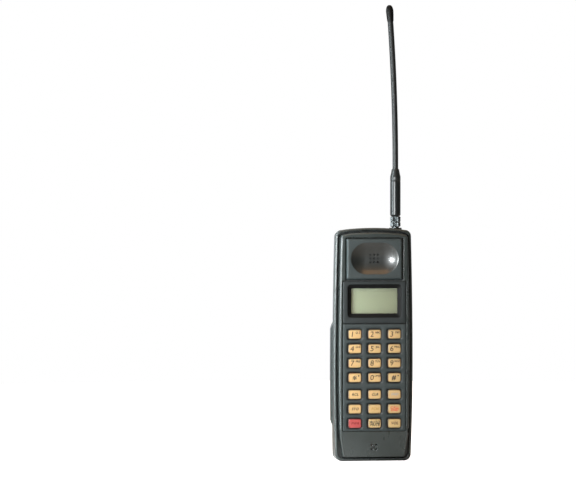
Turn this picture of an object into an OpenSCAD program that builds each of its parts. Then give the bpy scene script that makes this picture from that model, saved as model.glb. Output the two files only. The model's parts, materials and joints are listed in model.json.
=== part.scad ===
// Early hand-held cellular telephone with a screw-on flexible antenna and a tilt-out battery.
// It stands on its flat foot: X to the right, Y to the back, Z up, millimetres.

/* [Case] */
// Width of the case at its widest
body_w = 64; // [62:1:68]
// Height of the case at the crown of its top
body_h = 186.6; // [186:0.2:186.8]
// How far the crown rises over the sides
crown = 2.4; // [1:0.2:3]
// How far the sides bow out
side_bow = 1.6; // [0.8:0.2:1.8]
// Radius of the two top corners
top_r = 5; // [4:0.5:6]
// Radius of the two bottom corners
foot_r = 5.5; // [4:0.5:6]
// How far the sides draw in from the rim to where the back rounds off
side_draft = 1.7; // [1.5:0.1:2.4]
// How far the sides of the back flare out again at the foot
foot_flare = 1.6; // [0.8:0.2:1.6]

/* [Keys] */
// Width of a key cap
key_w = 10.4; // [9.6:0.2:10.8]
// Height of a key cap
key_h = 7.4; // [6.8:0.2:7.6]
// Distance between key columns
column_pitch = 15.9; // [15.5:0.1:16.1]
// Distance between key rows
row_pitch = 11.55; // [11.5:0.05:11.75]
// Extra space above the rows of function keys
group_gap = 1.9; // [1.5:0.1:2]
// How far a key travels
key_travel = 1; // [0.6:0.1:1]

/* [Display] */
// Width of the visible part of the display
view_w = 37; // [34:0.5:38]
// Height of the visible part of the display
view_h = 20.2; // [18:0.2:21]

/* [Earpiece] */
// Length of the earpiece dish
dish_w = 38; // [34:0.5:39]
// Height of the earpiece dish
dish_h = 25; // [22:0.5:26]
// Depth of the earpiece dish
dish_deep = 3.6; // [3:0.2:3.8]

/* [Battery] */
// Height of the battery's top edge at the back
battery_top = 118; // [117:0.2:118.4]
// How far the battery tilts out
battery_tilt = 22; // [15:1:22]
// Diameter of a battery cell
cell_d = 13.6; // [12.6:0.1:13.6]

/* [Antenna] */
// Height of the antenna's tip above the foot
antenna_top = 365; // [340:1:380]
// Radius of the whip's bend
bend_r = 1700; // [1500:50:4000]
// Radius of the whip
whip_r = 2.3; // [2.1:0.05:2.3]
// Radius of the knurled collar
collar_r = 4.15; // [4:0.05:4.3]

/* [Hidden] */
KEY_NAMES = [
    ["key_1", "key_2", "key_3"],
    ["key_4", "key_5", "key_6"],
    ["key_7", "key_8", "key_9"],
    ["key_star", "key_0", "key_hash"],
    ["key_recall", "key_clear", "key_send"],
    ["key_store", "key_function", "key_end"],
    ["key_power", "key_mute", "key_volume"]
];

$fn = 48;
cut = 0.1;              // how far a cutting shape runs past what it cuts
fit = 0.05;             // clearance between pieces that sit together
far = 60;               // past the case in any direction across it

// Outline of the case
widest_z = 78;
corner_steps = 10;
side_steps = 12;
crown_steps = 12;

// Depths of the case, front to back
face_y = -17;           // face of the front case
lip_in = 3.6;           // inset of the front case behind its rounded lip
lip_r = 1.4;
lip_steps = 6;
front_rings = concat(
    [for (i = [0:lip_steps]) let (a = 90 * i / lip_steps, d = lip_in + lip_r * (1 - sin(a)))
        [face_y + lip_r * (1 - cos(a)), d, d]],
    [[-6.8, 3.3, 3.3]]);
front_inner = [[-15, 7.2, 7.2], [-13.6, 5.7, 5.7], [-5.9, 5.3, 5.3]];
rim_y = -10.2;          // front edge of the rear case
rim_r = 1.5;
rim_steps = 5;
back_y = 19.5;
back_deep = 9;          // depth over which the back rounds off
back_in = 6.4;          // inset of the flat of the back
back_foot = 4.4;        // height of the flat of the back over the foot
back_steps = 8;
flare_z = 70;           // height at which the flare begins
draft_slope = side_draft / (back_y - back_deep - rim_y - rim_r);
back_turn = back_in - side_draft - draft_slope * back_deep;
rear_rings = concat(
    [for (i = [0:rim_steps]) let (a = 90 * i / rim_steps, d = rim_r * (1 - sin(a)))
        [rim_y + rim_r * (1 - cos(a)), d, d, 0]],
    [for (i = [0:back_steps]) let (a = 90 * i / back_steps)
        [back_y - back_deep * (1 - sin(a)),
         side_draft + draft_slope * back_deep * sin(a) + back_turn * (1 - cos(a)),
         back_foot * pow(1 - cos(a), 1.5),
         foot_flare]]);
cavity_in = 2.8;        // inset of the rear case's cavity
upper_cavity = [[-1, cavity_in, cavity_in], [12, 4.2, 4.2], [15.4, 5, 5], [17.5, 6.6, 6.6]];
battery_cavity = [[1.5, 3, 3], [4, 3.1, 3.1], [12, 4.2, 4.2], [15.4, 5, 5], [17.9, 6.6, 6.6]];
ledge_y = -6;           // where the front case rests in the rear case
wall_y = 2.2;           // back of the wall behind the battery
wall_t = 2;             // thickness of the casings
foot_h = 5;             // height of the foot under the battery
flange_in = 2.1;        // inset of the front case's flange
ledge_in = 3.4;         // inset of the ledge's inner edge
ledge_t = 1.5;

// Front panels
panel_hw = 25.5;        // half width of the keypad panel and the display bezel
ear_hw = 23.1;          // half width of the earpiece panel
panel_gap = 0.3;        // gap round a panel in its pocket
pocket_y = -15.6;       // floor of the panels' pocket
panel_rim = 1.9;        // width of the pocket's floor round the opening behind a panel
chin_z = 24.3;          // height at which the chin starts to slope back
chin_foot = [23.8, -13.6, 4];   // lower corner of the chin's facet
chin_side = [24.6, -8.5, 4];    // point of the wall beside the facet
keypad_z = [24.5, 109.9];
display_z = [110.3, 144.4];
ear_z = [145.1, 178.8];
keypad_face = -17.2;
display_face = -17.4;
ear_face = -18.2;
panel_r = 1.2;

// Keys
top_row_z = 101.9;
group_row = 4;          // first row of function keys
key_r = 1.5;
key_gap = 0.5;          // gap round a key cap in its window
key_face = -18.3;
key_flange = 1.1;       // how far a key's flange reaches past its cap
flange_y = [-15.5, -14.4];
key_foot = [5, 3.6];
function key_x(column) = (column - 1) * column_pitch;
function key_z(row) = top_row_z - row * row_pitch - (row >= group_row ? group_gap : 0);

// Boards and what is on them
board_hw = 24.6;
board_z = [18.5, 144.5];
mat_y = [-12.75, -12.05];
dome_y = mat_y[0] - key_travel / 2;
key_foot_y = dome_y - fit;
front_board_y = [-12, -10.8];
logic_board_y = [-8.8, -7.8];
chassis_y = [-6.6, -5];
radio_board_y = [-3.6, -2.6];
shield_back_y = 0;

// Display
display_mid = 128.4;
recess = [43, 26.2];
lens = [44.4, 27.4];
lens_y = [-15.6, -14.4];
lcd_y = [-14.3, -12.9];

// Earpiece and microphone
ear_mid = 162.3;
dish_wall = 1.2;        // how far the block behind the dish reaches past it
ear_hole_r = 0.8;
ear_hole_pitch = 3;
mic_mid = 11.6;
mic_hole_r = 0.8;
mic_hole_pitch = 1.7;
mic_y = [-10.2, -6.4];

// Case screws: [x, z, y under the head]
screws = [[21, 12.5, 0.9], [-21, 12.5, 0.9], [23, 151, 7], [-23, 151, 7]];
screw_r = 1.2;
head_r = 2.2;
head_h = 1.2;
screw_tip_y = -8.6;
post_r = 3;
post_end_y = -2;

// Battery
pack_y = 2.5;           // front of the battery
pack_t = 1.6;           // thickness of the battery's walls
cover_t = 1.4;
pivot = [16.6, 3.4];    // axis that the battery tilts about, as y and z
bead_r = 1.4;
bead_x = [12, 22];
web_t = 1.8;            // thickness of the web above a bead
shell_gap = 0.35;       // gap between the battery and the rear case
split_slope = 0.14;     // slope of the battery's top edge
relief_slope = 0.56;    // slope of the battery's lower edge behind its pivot
cell_l = 48.5;
cell_z = 8.2;
cell_pitch = 13.9;
grip_z = [26, 111];
grip_y = [5, 14.5];
grip_out = 0.4;         // how far the grips stand out past the rim at their middle
grip_root = 3.6;        // how far the grips reach in from there
grip_bow = 0.35;        // how far they fall away between their middle and their tapers
grip_taper = 6;         // length of the taper at each end
grip_drop = 2.6;        // how far they fall away by each end
grip_round = 7;         // radius across
charge_x = 7;
charge_mid = 51.5;
charge_y = 18.5;
terminal_z = 106;
terminal_pitch = 8;
terminal_size = [4, 7];
terminal_t = 0.6;

// Latch: a thumb slide in the back, whose nose reaches down into the battery's top
shelf_t = 1.7;
latch_plate = [9, 15.7, 17.35];     // half width, front, back
latch_plate_z = [120.2, 133.5];
latch_pad = [6.6, 20.1];            // half width, back
latch_pad_z = [123.6, 131.2];
latch_travel = 2.6;
latch_slot_z = latch_pad_z + [-0.3, latch_travel + 0.4];
nose_hw = 4;
nose_y = [14, 16.2];
nose_z = 115.7;
nose_gap = 0.15;
catch_t = 1.25;         // thickness of the rib that the nose holds
channel_z = 114.4;      // floor of the channel that the nose passes through when the battery tilts
spring_top = 142;

// Antenna
antenna_x = 19.5;
antenna_y = 2;
boss_r = 5;
boss_top = 186.4;
stud_r = 2.9;
stud_top = 192.2;
collar_z = [187.2, 195.5];
collar_edge = 0.5;
collar_bore = 2.05;
groove_z = [190.6, 191.6];
groove_deep = 0.45;
groove_slope = 0.3;
ferrule_z = [192.3, 193.4];
boot_r = 4.2;
boot_z = [195.6, 227.5];
boot_neck = [2.85, 233.6];   // radius and height of the boot's narrow end
whip_foot = 229.8;
whip_z = 234;           // height at which the whip starts to bend
tip_r = 3.05;
tip_l = 13;

// ---------- the case's outline ----------

// Half width of the case at a height
function half_w(z) =
    body_w / 2 - side_bow * pow((z - widest_z) / (z > widest_z ? body_h - widest_z : widest_z), 2);
// Height of the top edge across the case
function top_z(x) = body_h - crown * pow(x / (body_w / 2), 2);
function arc(x, z, r, from) =
    [for (i = [0:corner_steps]) let (a = from + 90 * i / corner_steps) [x + r * cos(a), z + r * sin(a)]];
function mirrored(points) = [for (i = [len(points) - 1:-1:0]) [-points[i][0], points[i][1]]];

// How far a flare that reaches g at the foot stands out at a height
function flare(g, z) = g * max(0, 1 - z / flare_z);
// The right side of the case inset by d, with its foot at height f and a flare g
function right_side(d, f, g) =
    let (rt = top_r - 0.5 * d,
         rb = foot_r - 0.5 * d,
         zt = top_z(body_w / 2 - top_r) - d - rt,
         zb = f + rb)
    concat(
        arc(half_w(zb) - d - rb + flare(g, zb), zb, rb, -90),
        [for (i = [1:side_steps - 1])
            let (z = zb + (zt - zb) * i / side_steps) [half_w(z) - d + flare(g, z), z]],
        arc(half_w(zt) - d - rt, zt, rt, 0));
function outline(d, f, g = 0) =
    let (right = right_side(d, f, g), last = right[len(right) - 1])
    concat(
        right,
        [for (i = [1:crown_steps - 1]) let (x = last[0] * (1 - 2 * i / crown_steps)) [x, top_z(x) - d]],
        mirrored(right));

// A solid through outlines of the case, from front to back, one for each [y, inset, foot height]
// or [y, inset, foot height, flare]
module loft(rings) {
    loops = [for (ring = rings) outline(ring[1], ring[2], len(ring) > 3 ? ring[3] : 0)];
    n = len(loops[0]);
    last = len(rings) - 1;
    points = [for (k = [0:last]) for (p = loops[k]) [p[0], rings[k][0], p[1]]];
    sides = [for (k = [0:last - 1]) for (i = [0:n - 1])
        let (a = k * n + i, b = k * n + (i + 1) % n)
        each [[a, b, b + n], [a, b + n, a + n]]];
    front = [for (i = [n - 1:-1:0]) i];
    back = [for (i = [0:n - 1]) last * n + i];
    polyhedron(points = points, faces = concat([front], sides, [back]));
}

// ---------- shapes that repeat ----------

// A straight-walled slab of the case's outline
module slab(y0, y1, d) {
    translate([0, y1, 0]) rotate([90, 0, 0]) linear_extrude(y1 - y0) polygon(outline(d, d));
}

module box(x, y, z) {
    translate([x[0], y[0], z[0]]) cube([x[1] - x[0], y[1] - y[0], z[1] - z[0]]);
}

// A box of half width hw about the middle of the case
module mid_box(hw, y, z) {
    box([-hw, hw], y, z);
}

module rounded(size, r) {
    square([size[0] - 2 * r, size[1]], center = true);
    square([size[0], size[1] - 2 * r], center = true);
    for (x = [-1, 1], z = [-1, 1])
        translate([x * (size[0] / 2 - r), z * (size[1] / 2 - r)]) circle(r);
}

// A plate with rounded corners that faces the front
module plate(x, z, size, r, y) {
    translate([x, y[1], z]) rotate([90, 0, 0]) linear_extrude(y[1] - y[0]) rounded(size, r);
}

// A plate between two heights, about the middle of the case
module panel(hw, z, r, y) {
    plate(0, (z[0] + z[1]) / 2, [2 * hw, z[1] - z[0]], r, y);
}

// A round bar along Y
module rod(x, z, r, y) {
    translate([x, y[1], z]) rotate([90, 0, 0]) cylinder(r = r, h = y[1] - y[0]);
}

// A side profile drawn as [y, z] points, extruded across the case between two x
module side_prism(x, points) {
    translate([x[0], 0, 0]) rotate([90, 0, 90]) linear_extrude(x[1] - x[0]) polygon(points);
}

// Everything on one side of the plane through three points, moved back by t
module beyond(a, b, c, t) {
    n = cross(b - a, c - a) / norm(cross(b - a, c - a));
    translate(a - t * n) rotate([0, acos(n[2]), atan2(n[1], n[0])])
        translate([-far, -far, 0]) cube([2 * far, 2 * far, far]);
}

module both_sides() {
    children();
    mirror([1, 0, 0]) children();
}

// ---------- casings and front panels ----------

// The sloping facet of the chin and the bevels beside it, moved in by t
module chin_cuts(t) {
    right = chin_foot;
    left = [-chin_foot[0], chin_foot[1], chin_foot[2]];
    beyond([0, face_y, chin_z], left, right, t);
    both_sides() beyond([27, face_y, chin_z], right, chin_side, t);
}

module front_form() {
    difference() {
        loft(front_rings);
        chin_cuts(0);
    }
}

module front_case() color([0.13, 0.15, 0.155]) difference() {
    union() {
        difference() {
            union() {
                front_form();
                slab(-7.4, ledge_y - fit, flange_in);
            }
            difference() {
                loft(front_inner);
                chin_cuts(wall_t);
            }
        }
        intersection() {
            front_form();
            for (s = screws) rod(s[0], s[1], post_r, [-16, -7]);
        }
        for (s = screws) rod(s[0], s[1], post_r, [-8, post_end_y]);
    }
    for (s = screws) rod(s[0], s[1], screw_r + fit, [screw_tip_y - 1, post_end_y + cut]);
    panel_pocket(panel_hw, [keypad_z[0], display_z[1]]);
    panel_pocket(ear_hw, [ear_z[0] - 1, ear_z[1]]);
    mid_box(panel_hw - panel_rim, [face_y, pocket_y + 2], [keypad_z[0] + 0.5, keypad_z[1] - panel_rim]);
    plate(0, display_mid, lens + [0.8, 0.8], 0.5, [face_y, pocket_y + 2]);
    mid_box(ear_hw - panel_rim, [face_y, pocket_y + 2], [ear_z[0] + panel_rim, ear_z[1] - panel_rim]);
    for (p = [[0, 0], [1, 1], [1, -1], [-1, 1], [-1, -1]])
        rod(p[0] * mic_hole_pitch, mic_mid + p[1] * mic_hole_pitch, mic_hole_r, [face_y, mic_y[0]]);
}

module panel_pocket(hw, z) {
    panel(hw + panel_gap, z + [-panel_gap, panel_gap], panel_r, [face_y - 1, pocket_y]);
}

module rear_case() color([0.12, 0.14, 0.145]) difference() {
    union() {
        difference() {
            loft(rear_rings);
            slab(rim_y - 1, ledge_y, flange_in - fit);
            slab(ledge_y - cut, wall_y - wall_t, ledge_in);
            slab(ledge_y + ledge_t, wall_y - wall_t, cavity_in);
            intersection() {
                loft(upper_cavity);
                mid_box(far, [-far, far], [battery_top + shell_gap + shelf_t, body_h]);
            }
            side_prism([-far, far],
                       [[wall_y, foot_h], [far, foot_h], [far, shelf_z(far)], [wall_y, shelf_z(wall_y)]]);
        }
        for (s = screws) rod(s[0], s[1], post_r + 0.6, [post_end_y + fit, s[1] < chin_z ? 1 : 17.5]);
        mid_box(3.5, [14.4, 18], [spring_top, spring_top + 1.5]);
        translate([antenna_x, antenna_y, 181]) cylinder(r1 = boss_r + 1, r2 = boss_r, h = boss_top - 181);
    }
    for (s = screws) {
        rod(s[0], s[1], screw_r + 0.2, [post_end_y - 1, s[2] + 1]);
        rod(s[0], s[1], head_r + 0.3, [s[2], far]);
    }
    mid_box(11.05, [-4.95, -1.25], [-cut, ledge_in + 1]);
    terminal_boxes(0.2, [-1, wall_y + cut]);
    mid_box(latch_pad[0] + 0.25, [latch_plate[2], far], latch_slot_z);
    mid_box(nose_hw + 0.25, nose_y + [-0.2, 0.25], [nose_z - 1, 121]);
    for (i = [-2:2]) plate(0, 166 + i * 3, [14, 1.2], 0.55, [16, far]);
    both_sides() bead_seat();
    translate([antenna_x, antenna_y, 170]) cylinder(r = stud_r + fit, h = 20);
}

// Underside of the rear case's shelf over the battery
function shelf_z(y) = battery_top + shell_gap - (back_y - y) * split_slope;

// A box centred on an x and a height
module centred_box(x, w, y, z, h) {
    box([x - w / 2, x + w / 2], y, [z - h / 2, z + h / 2]);
}

// A round bar across the case on the battery's pivot
module cross_pin(x, r) {
    translate([x[0], pivot[0], pivot[1]]) rotate([0, 90, 0]) cylinder(r = r, h = x[1] - x[0]);
}

// The seat in the foot for one of the battery's beads, open above for the bead's web
module bead_seat() {
    x = bead_x + [-0.3, 0.3];
    lean = tan(battery_tilt);
    web = web_t / 2 / cos(battery_tilt) + 0.15;
    top = foot_h + 1;
    side_prism(x, [[pivot[0] - 1, pivot[1]], [pivot[0] - 1, top],
                   [pivot[0] + web + lean * (top - pivot[1]), top], [pivot[0] + web, pivot[1]]]);
    cross_pin(x, bead_r + fit);
}

module earpiece_panel() color([0.15, 0.17, 0.175]) difference() {
    union() {
        panel(ear_hw, ear_z, panel_r, [ear_face, pocket_y]);
        plate(0, ear_mid, [dish_w, dish_h] + 2 * [dish_wall, dish_wall], dish_h / 2,
              [pocket_y - 1, ear_face + dish_deep + 1]);
    }
    dish();
    for (x = [-1:1], z = [-1:1])
        rod(x * ear_hole_pitch, ear_mid + z * ear_hole_pitch, ear_hole_r, [ear_face, -10]);
}

// The dish is a round bowl drawn out sideways
module dish() {
    r = (pow(dish_h / 2, 2) + pow(dish_deep, 2)) / (2 * dish_deep);
    reach = (dish_w - dish_h) / 2;
    translate([0, ear_face + dish_deep - r, ear_mid]) {
        translate([-reach, 0, 0]) rotate([0, 90, 0]) cylinder(r = r, h = 2 * reach, $fn = 128);
        for (x = [-reach, reach]) translate([x, 0, 0]) sphere(r = r, $fn = 128);
    }
}

module display_bezel() color([0.13, 0.145, 0.15]) difference() {
    panel(panel_hw, display_z, panel_r, [display_face, pocket_y]);
    hull() {
        plate(0, display_mid, recess, 2.4, [display_face - 0.2, display_face - 0.1], $fn = 32);
        plate(0, display_mid, recess - [3, 3], 1.4, [-16.4, -16.3], $fn = 32);
    }
    plate(0, display_mid, [view_w, view_h], 0.5, [face_y, -15]);
}

module keypad_panel() color([0.15, 0.17, 0.175]) difference() {
    panel(panel_hw, keypad_z, panel_r, [keypad_face, pocket_y]);
    for (row = [0:6], column = [0:2])
        plate(key_x(column), key_z(row), [key_w, key_h] + 2 * [key_gap, key_gap], key_r + key_gap,
              [keypad_face - 1, pocket_y + 1]);
}

module display_lens() color([0.75, 0.8, 0.72]) plate(0, display_mid, lens, 0.4, lens_y);

module case_screws() color([0.7, 0.7, 0.72]) for (s = screws) {
    difference() {
        rod(s[0], s[1], head_r, [s[2], s[2] + head_h]);
        rod(s[0], s[1], 0.9, [s[2] + head_h - 0.7, far], $fn = 6);
    }
    rod(s[0], s[1], screw_r, [screw_tip_y, s[2] + cut]);
}

// ---------- keys ----------

module key(column, row, shade) color(shade) {
    x = key_x(column);
    z = key_z(row);
    plate(x, z, [key_w, key_h], key_r, [key_face, flange_y[0] + cut]);
    plate(x, z, [key_w, key_h] + 2 * [key_flange, key_flange], key_r, flange_y);
    plate(x, z, key_foot, 0.8, [flange_y[1] - cut, key_foot_y]);
}

module keypad_mat() color([0.55, 0.55, 0.53]) difference() {
    union() {
        panel(board_hw - 1, [24.6, 108.6], 1, mat_y);
        for (row = [0:6], column = [0:2])
            plate(key_x(column), key_z(row), key_foot + [1.6, 1.6], 1, [dome_y, mat_y[0] + cut]);
    }
    for (row = [0:6], column = [0:2])
        plate(key_x(column), key_z(row), key_foot, 0.6, [mat_y[0] + 0.2, mat_y[1] + cut]);
}

// ---------- inside the front ----------

module board(y, z) {
    panel(board_hw, z, 1, y);
}

// Square packages that stand on a board: [x, z, width, height]
module chips(list, y) {
    for (c = list) centred_box(c[0], c[2], y, c[1], c[3]);
}

module keypad_board() color([0.1, 0.4, 0.2]) {
    board(front_board_y, board_z);
    chips([[-12, 60, 12, 12], [10, 60, 14, 10], [0, 120, 18, 12]],
          [front_board_y[1] - cut, front_board_y[1] + 1.6]);
}

module lcd_glass() color([0.62, 0.67, 0.53]) plate(0, display_mid, [40.6, 23.6], 0.4, lcd_y);

module lcd_holder() color([0.1, 0.1, 0.1]) difference() {
    plate(0, display_mid, [48, 30], 1, [lcd_y[0] - fit, front_board_y[0] - fit]);
    plate(0, display_mid, [40.8, 23.8], 0.4, [-far, far]);
}

module light_guide() color([0.85, 0.9, 0.85])
    plate(0, display_mid, [40.4, 23.4], 0.4, [lcd_y[1] + fit, front_board_y[0] - fit]);

module earpiece_capsule() color([0.3, 0.3, 0.32]) {
    rod(0, ear_mid, 12, [-12.5, -9.5]);
    rod(0, ear_mid, 7, [-9.6, -7.2]);
}

module earpiece_gasket() color([0.08, 0.08, 0.08]) difference() {
    rod(0, ear_mid, 12, [ear_face + dish_deep + 1 + fit, -12.55]);
    rod(0, ear_mid, 9, [-far, far]);
}

module microphone() color([0.7, 0.7, 0.7]) rod(0, mic_mid, 4.7, [mic_y[0], mic_y[1] - 1]);

module microphone_boot() color([0.08, 0.08, 0.08]) difference() {
    rod(0, mic_mid, 6, [mic_y[0] - 1.2, mic_y[1]]);
    rod(0, mic_mid, 4.75, [mic_y[0] - fit, far]);
    rod(0, mic_mid, 2.6, [-far, far]);
}

module logic_board() color([0.1, 0.4, 0.2]) {
    board(logic_board_y, board_z);
    chips([[-8, 100, 22, 16], [14, 100, 12, 16], [0, 70, 26, 20], [-12, 40, 16, 12], [12, 40, 14, 14]],
          [logic_board_y[1] - cut, logic_board_y[1] + 1]);
}

// The frame between the boards has two large windows and a web between them
module chassis_frame() color([0.6, 0.6, 0.62]) difference() {
    board(chassis_y, board_z);
    for (z = [[26, 76], [84, 136]]) panel(board_hw - 6, z, 3, [-far, far]);
}

module radio_board() color([0.1, 0.35, 0.3]) board(radio_board_y, board_z);

module shield_cans() color([0.75, 0.75, 0.76]) {
    for (z = [[22, 58], [62, 98]]) difference() {
        panel(board_hw - 2, z, 1, [radio_board_y[1] + fit, shield_back_y]);
        panel(board_hw - 2.4, z + [0.4, -0.4], 0.6, [radio_board_y[1], shield_back_y - 0.4]);
    }
}

module duplexer() color([0.7, 0.66, 0.5]) {
    box([-23, -1], [radio_board_y[1] + fit, 10], [122, 143]);
    for (x = [-19, -12, -5]) rod(x, 132.5, 1.6, [9.9, 11.4]);
}

module ringer() color([0.12, 0.12, 0.12]) difference() {
    rod(0, 166, 11, [6, 14.5]);
    rod(0, 166, 1.5, [13, 15]);
}

module system_connector() color([0.08, 0.08, 0.08]) {
    difference() {
        mid_box(11, [-4.9, -1.3], [0.4, 9]);
        mid_box(9.8, [-4.1, -2.1], [0, 7]);
    }
    for (i = [-5:5]) centred_box(i * 1.7, 0.7, [-3.5, -2.7], 5, 6.5);
}

// ---------- battery ----------

// Side profile of the battery, inside its outer faces by t
function battery_profile(t) = [
    [0, foot_h + shell_gap + t],
    [pivot[0], foot_h + shell_gap + t],
    [far, foot_h + shell_gap + t + (far - pivot[0]) * relief_slope],
    [far, battery_top - t + (far - back_y) * split_slope],
    [0, battery_top - t - back_y * split_slope]
];

module battery_case() color([0.12, 0.14, 0.145]) {
    difference() {
        intersection() {
            loft(rear_rings);
            mid_box(far, [pack_y, far], [0, body_h]);
            side_prism([-far, far], battery_profile(0));
        }
        difference() {
            intersection() {
                loft(battery_cavity);
                side_prism([-far, far], battery_profile(pack_t));
            }
            mid_box(nose_hw + 1.5, [pack_y + cover_t + fit, far], [channel_z - pack_t, body_h]);
        }
        mid_box(nose_hw + nose_gap, nose_y + [-nose_gap, nose_gap], [channel_z, body_h]);
        mid_box(nose_hw + nose_gap, [0, nose_y[0] - nose_gap - catch_t], [channel_z, body_h]);
        charge_boxes([charge_y, far]);
    }
    both_sides() {
        battery_grip();
        battery_bead();
    }
}

module battery_bead() {
    cross_pin(bead_x, bead_r);
    box(bead_x, [pivot[0] - web_t / 2, pivot[0] + web_t / 2], [pivot[1], foot_h + shell_gap + pack_t]);
}

// A finger grip is rounded across, bowed a little along its length, and sinks away at both ends
module battery_grip() {
    mid = (grip_z[0] + grip_z[1]) / 2;
    across = (grip_y[0] + grip_y[1]) / 2;
    width = grip_y[1] - grip_y[0];
    crest = body_w / 2 + grip_out;
    root = body_w / 2 - grip_root;
    intersection() {
        side_plate([root, crest], across, mid, [width, grip_z[1] - grip_z[0]], width / 2 - 0.05);
        translate([0, back_y, 0]) rotate([90, 0, 0]) linear_extrude(back_y) polygon([
            [root, grip_z[0]], [crest - grip_drop, grip_z[0]], [crest - grip_bow, grip_z[0] + grip_taper],
            [crest, mid], [crest - grip_bow, grip_z[1] - grip_taper], [crest - grip_drop, grip_z[1]],
            [root, grip_z[1]]]);
        translate([crest - grip_round, across, 0]) cylinder(r = grip_round, h = body_h, $fn = 96);
    }
}

// A plate with rounded corners that faces the side
module side_plate(x, y, z, size, r) {
    translate([x[0], y, z]) rotate([90, 0, 90]) linear_extrude(x[1] - x[0]) rounded(size, r);
}

module battery_cover() color([0.1, 0.11, 0.11]) difference() {
    intersection() {
        slab(pack_y, pack_y + cover_t, 3.25);
        side_prism([-far, far], battery_profile(pack_t + fit));
    }
    terminal_boxes(0, [pack_y - cut, pack_y + terminal_t]);
}

// The three blocks in which the battery's terminals sit, wider and higher by grow
module terminal_boxes(grow, y) {
    for (i = [-1:1])
        centred_box(i * terminal_pitch, terminal_size[0] + grow, y, terminal_z, terminal_size[1] + grow);
}

module battery_cells() color([0.75, 0.72, 0.6]) for (column = [-1:1], row = [0:1])
    translate([column * cell_pitch, 4.1 + cell_d / 2, cell_z + row * (cell_l + 0.2)]) {
        cylinder(r = cell_d / 2, h = cell_l - 1);
        cylinder(r = 2.6, h = cell_l);
    }

module charging_contacts() color([0.85, 0.7, 0.35]) charge_boxes([charge_y, charge_y + 0.7]);

// The two places for the charging contacts
module charge_boxes(y) {
    for (side = [-1, 1]) centred_box(side * charge_x, 4, y, charge_mid, 7);
}

module battery_terminals() color([0.85, 0.7, 0.35]) terminal_boxes(0, [pack_y, pack_y + terminal_t]);

module terminal_springs() color([0.85, 0.7, 0.35]) {
    foot = radio_board_y[1] + terminal_t;
    terminal_boxes(0, [radio_board_y[1] + fit, foot]);
    for (i = [-1:1])
        centred_box(i * terminal_pitch, terminal_size[0] - 1, [foot - cut, pack_y - fit], terminal_z, 2.4);
}

module battery_latch() color([0.12, 0.13, 0.135]) {
    mid_box(latch_plate[0], [latch_plate[1], latch_plate[2] - fit], latch_plate_z);
    mid_box(latch_pad[0], [latch_plate[2] - cut, latch_pad[1] - 0.5], latch_pad_z);
    for (z = [latch_pad_z[0] + 0.8:1.4:latch_pad_z[1] - 1])
        mid_box(latch_pad[0] - 0.6, [latch_pad[1] - 0.6, latch_pad[1]], [z, z + 0.7]);
    mid_box(nose_hw, nose_y, [nose_z, latch_plate_z[0] + 2]);
}

module latch_spring() color([0.7, 0.7, 0.72]) translate([0, 16, latch_plate_z[1]])
    difference() {
        cylinder(r = 1.4, h = spring_top - latch_plate_z[1] - fit);
        translate([0, 0, -cut]) cylinder(r = 1, h = far);
    }

// ---------- antenna ----------

module on_antenna(z) {
    translate([antenna_x, antenna_y, z]) children();
}

module antenna_socket() color([0.7, 0.6, 0.35]) difference() {
    union() {
        on_antenna(176) cylinder(r = stud_r, h = stud_top - 176);
        on_antenna(177.6) cylinder(r = 4.2, h = 3.4);
    }
    on_antenna(175) cylinder(r = 1.95, h = 20);
}

module socket_insulator() color([0.92, 0.92, 0.9]) on_antenna(178) difference() {
    cylinder(r = 1.9, h = 13.5);
    translate([0, 0, -cut]) cylinder(r = 0.75, h = 20);
}

// The collar has a groove round it that parts its two knurled bands
module antenna_collar() color([0.62, 0.62, 0.62]) on_antenna(0) rotate_extrude() polygon([
    [stud_r + fit, collar_z[0]], [collar_r - collar_edge, collar_z[0]],
    [collar_r, collar_z[0] + collar_edge], [collar_r, groove_z[0]], [collar_r - groove_deep, groove_z[0] + groove_slope],
    [collar_r - groove_deep, groove_z[1] - groove_slope], [collar_r, groove_z[1]],
    [collar_r, collar_z[1] - collar_edge], [collar_r - collar_edge, collar_z[1]],
    [collar_bore, collar_z[1]], [collar_bore, ferrule_z[1] + fit], [stud_r + fit, ferrule_z[1] + fit]]);

module antenna_ferrule() color([0.75, 0.65, 0.4]) {
    on_antenna(186.6) cylinder(r = 0.7, h = 6);
    on_antenna(ferrule_z[0]) cylinder(r = stud_r, h = ferrule_z[1] - ferrule_z[0]);
    on_antenna(ferrule_z[1] - cut) cylinder(r = 2, h = 5.6);
}

module antenna_boot() color([0.2, 0.22, 0.23]) on_antenna(0) rotate_extrude() polygon([
    [2, boot_z[0]], [boot_r - 0.4, boot_z[0]], [boot_r, boot_z[0] + 0.5], [boot_r, boot_z[1]],
    [boot_neck[0], boot_neck[1]], [whip_r + fit, boot_neck[1]], [whip_r + fit, whip_foot - 0.1],
    [2.5, whip_foot - 0.3], [2.5, 199.2], [2, 199.2]]);

// Angle along the whip's bend at a height
function bend_at(z) = asin((z - whip_z) / bend_r);

module antenna_whip() color([0.16, 0.17, 0.18]) {
    on_antenna(whip_foot) cylinder(r = whip_r, h = whip_z - whip_foot, $fn = 24);
    translate([antenna_x - bend_r, antenna_y, whip_z])
        rotate([90, 0, 0])
            rotate_extrude(angle = bend_at(antenna_top - 5), $fn = 2400)
                translate([bend_r, 0]) circle(whip_r, $fn = 24);
}

module antenna_tip() color([0.08, 0.08, 0.08]) {
    a = bend_at(antenna_top - tip_l);
    x = antenna_x - bend_r * (1 - cos(a));
    translate([x, antenna_y, antenna_top - tip_l]) rotate([0, -a, 0]) difference() {
        union() {
            cylinder(r = tip_r, h = tip_l - tip_r);
            translate([0, 0, tip_l - tip_r]) sphere(r = tip_r);
        }
        translate([0, 0, -cut]) cylinder(r = whip_r + 0.1, h = tip_l - 4.5);
    }
}

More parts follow.
